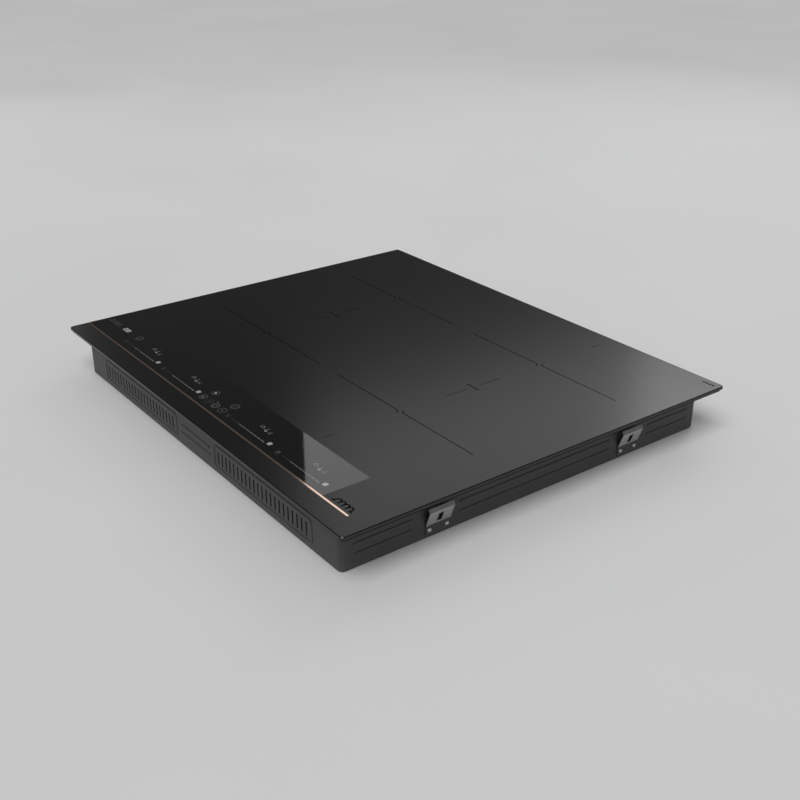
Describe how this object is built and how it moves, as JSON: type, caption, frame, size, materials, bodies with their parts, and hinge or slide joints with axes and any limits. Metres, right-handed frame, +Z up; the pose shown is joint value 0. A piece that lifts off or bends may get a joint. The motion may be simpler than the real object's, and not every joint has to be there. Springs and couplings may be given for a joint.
{
  "type": "induction cooktop",
  "caption": "Built-in electric induction cooktop: matt black glass with line-marked zones, a gloss touch strip and a copper line, over a steel casing with coils, boards and blowers.",
  "frame": {"origin": "centre of the underside of the casing, below the centre of the glass", "axes": "+X to the user's right, +Y away from the user, +Z up out of the glass"},
  "size_m": [0.6, 0.51, 0.056],
  "materials": {
    "matt_glass": "matt etched glass-ceramic with a polished control strip",
    "copper_line": "polished copper",
    "sealing_foam": "black closed-cell foam",
    "silicone": "black silicone",
    "black_steel": "satin black powder coat",
    "painted_steel": "dark satin powder coat on sheet steel",
    "zinc_screws": "bright zinc",
    "black_nylon": "fine-grained moulding",
    "spring_steel": "bare spring steel",
    "cable_jacket": "silicone and PVC insulation",
    "sensor_ceramic": "unglazed ceramic",
    "circuit_board": "green solder mask",
    "ferrite": "sintered ferrite",
    "brass_screws": "bright brass",
    "rubber": "soft black rubber",
    "display_plastic": "white lamp housing",
    "litz_copper": "enamelled copper strands",
    "white_nylon": "glass-filled nylon",
    "insulation": "ceramic fibre felt",
    "aluminium_sheet": "mill-finish sheet",
    "aluminium_sink": "extruded aluminium",
    "package_epoxy": "moulded epoxy",
    "capacitor_blue": "potted film capacitor",
    "blower_plastic": "satin black moulding"
  },
  "bodies": {
    "hob": {"adhesive_bead": "silicone", "base_pan": "painted_steel", "blower_housing_left": "blower_plastic", "blower_housing_right": "blower_plastic", "blower_shafts": "zinc_screws", "board_standoffs": "black_nylon", "cable_grommet": "rubber", "capacitors_left": "capacitor_blue", "capacitors_right": "capacitor_blue", "casing_screws": "zinc_screws", "clip_feet": "black_steel", "coil_former_left_front": "white_nylon", "coil_former_left_rear": "white_nylon", "coil_former_right_front": "white_nylon", "coil_former_right_rear": "white_nylon", "coil_leads": "cable_jacket", "coil_tray_left": "aluminium_sheet", "coil_tray_right": "aluminium_sheet", "coil_winding_left_front": "litz_copper", "coil_winding_left_rear": "litz_copper", "coil_winding_right_front": "litz_copper", "coil_winding_right_rear": "litz_copper", "copper_trim": "copper_line", "display_modules": "display_plastic", "ferrite_bars_left_front": "ferrite", "ferrite_bars_left_rear": "ferrite", "ferrite_bars_right_front": "ferrite", "ferrite_bars_right_rear": "ferrite", "filter_board": "circuit_board", "filter_chokes": "ferrite", "glass_frame": "black_steel", "glass_plate": "matt_glass", "heatsink_left": "aluminium_sink", "heatsink_right": "aluminium_sink", "insulation_pad_left": "insulation", "insulation_pad_right": "insulation", "mains_wires": "cable_jacket", "perimeter_gasket": "sealing_foam", "power_board_left": "circuit_board", "power_board_right": "circuit_board", "power_transistors_left": "package_epoxy", "power_transistors_right": "package_epoxy", "ribbon_cable": "cable_jacket", "temperature_sensors": "sensor_ceramic", "terminal_block": "black_nylon", "terminal_box": "black_nylon", "terminal_screws": "brass_screws", "touch_board": "circuit_board", "touch_carrier": "black_nylon", "touch_springs": "brass_screws", "tray_posts": "black_nylon", "tray_springs": "spring_steel"},
    "blower_left": {"blower_rotor_left": "blower_plastic"},
    "blower_right": {"blower_rotor_right": "blower_plastic"},
    "cover": {"terminal_cover": "black_nylon"},
    "clip_left_front": {"clip_leaf_left_front": "spring_steel"},
    "clip_left_rear": {"clip_leaf_left_rear": "spring_steel"},
    "clip_right_front": {"clip_leaf_right_front": "spring_steel"},
    "clip_right_rear": {"clip_leaf_right_rear": "spring_steel"}
  },
  "joints": [
    {"name": "blower_left_spin", "type": "hinge", "parent": "hob", "child": "blower_left", "pos_m": [-0.136, 0.168, 0.0265], "axis": [0, 0, 1], "continuous": true},
    {"name": "blower_right_spin", "type": "hinge", "parent": "hob", "child": "blower_right", "pos_m": [0.136, 0.168, 0.0265], "axis": [0, 0, 1], "continuous": true},
    {"name": "clip_left_front_flex", "type": "hinge", "parent": "hob", "child": "clip_left_front", "pos_m": [-0.2768, -0.13, 0.01415], "axis": [0, 1, 0], "range_deg": [0, 12], "stiffness_Nm_per_rad": 0.8},
    {"name": "clip_left_rear_flex", "type": "hinge", "parent": "hob", "child": "clip_left_rear", "pos_m": [-0.2768, 0.13, 0.01415], "axis": [0, 1, 0], "range_deg": [0, 12], "stiffness_Nm_per_rad": 0.8},
    {"name": "clip_right_front_flex", "type": "hinge", "parent": "hob", "child": "clip_right_front", "pos_m": [0.2768, -0.13, 0.01415], "axis": [0, -1, 0], "range_deg": [0, 12], "stiffness_Nm_per_rad": 0.8},
    {"name": "clip_right_rear_flex", "type": "hinge", "parent": "hob", "child": "clip_right_rear", "pos_m": [0.2768, 0.13, 0.01415], "axis": [0, -1, 0], "range_deg": [0, 12], "stiffness_Nm_per_rad": 0.8},
    {"name": "cover_hinge", "type": "hinge", "parent": "hob", "child": "cover", "pos_m": [0, 0.2392, 0.006], "axis": [-1, 0, 0], "range_deg": [0, 90]}
  ]
}
